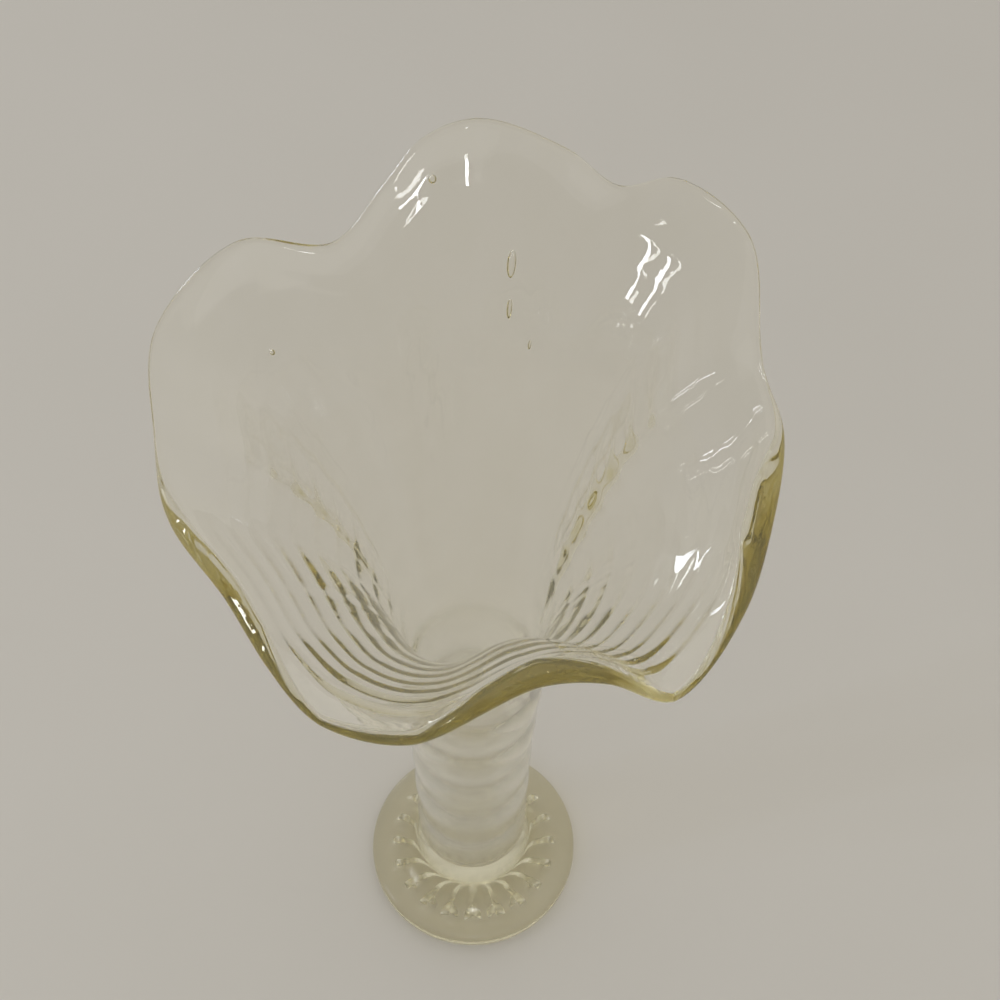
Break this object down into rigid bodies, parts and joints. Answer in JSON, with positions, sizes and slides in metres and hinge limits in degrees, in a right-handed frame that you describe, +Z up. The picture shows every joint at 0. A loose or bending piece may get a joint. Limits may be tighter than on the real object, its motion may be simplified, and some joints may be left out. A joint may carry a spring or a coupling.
{
  "type": "swung vase",
  "caption": "Clear, faintly straw-tinted glass swung vase: star-pressed round foot, ringed stem, trumpet bowl and a ruffled, fire-polished rim; holds cut flowers in water.",
  "frame": {"origin": "middle of the foot's resting plane, on the flat button inside the star", "axes": "+Z up along the stem, -Y to the pictured front, +X to the right of that front; the mouth leans a little towards +X"},
  "size_m": [0.1609, 0.1676, 0.3346],
  "materials": {
    "clear_glass": "pressed and fire-polished soda-lime glass, clear with a faint straw tint that shows olive along the thick rim"
  },
  "bodies": {
    "root": {"star_foot": "clear_glass", "ringed_stem": "clear_glass", "ruffled_bowl": "clear_glass", "fire_polished_lip": "clear_glass"}
  },
  "joints": []
}
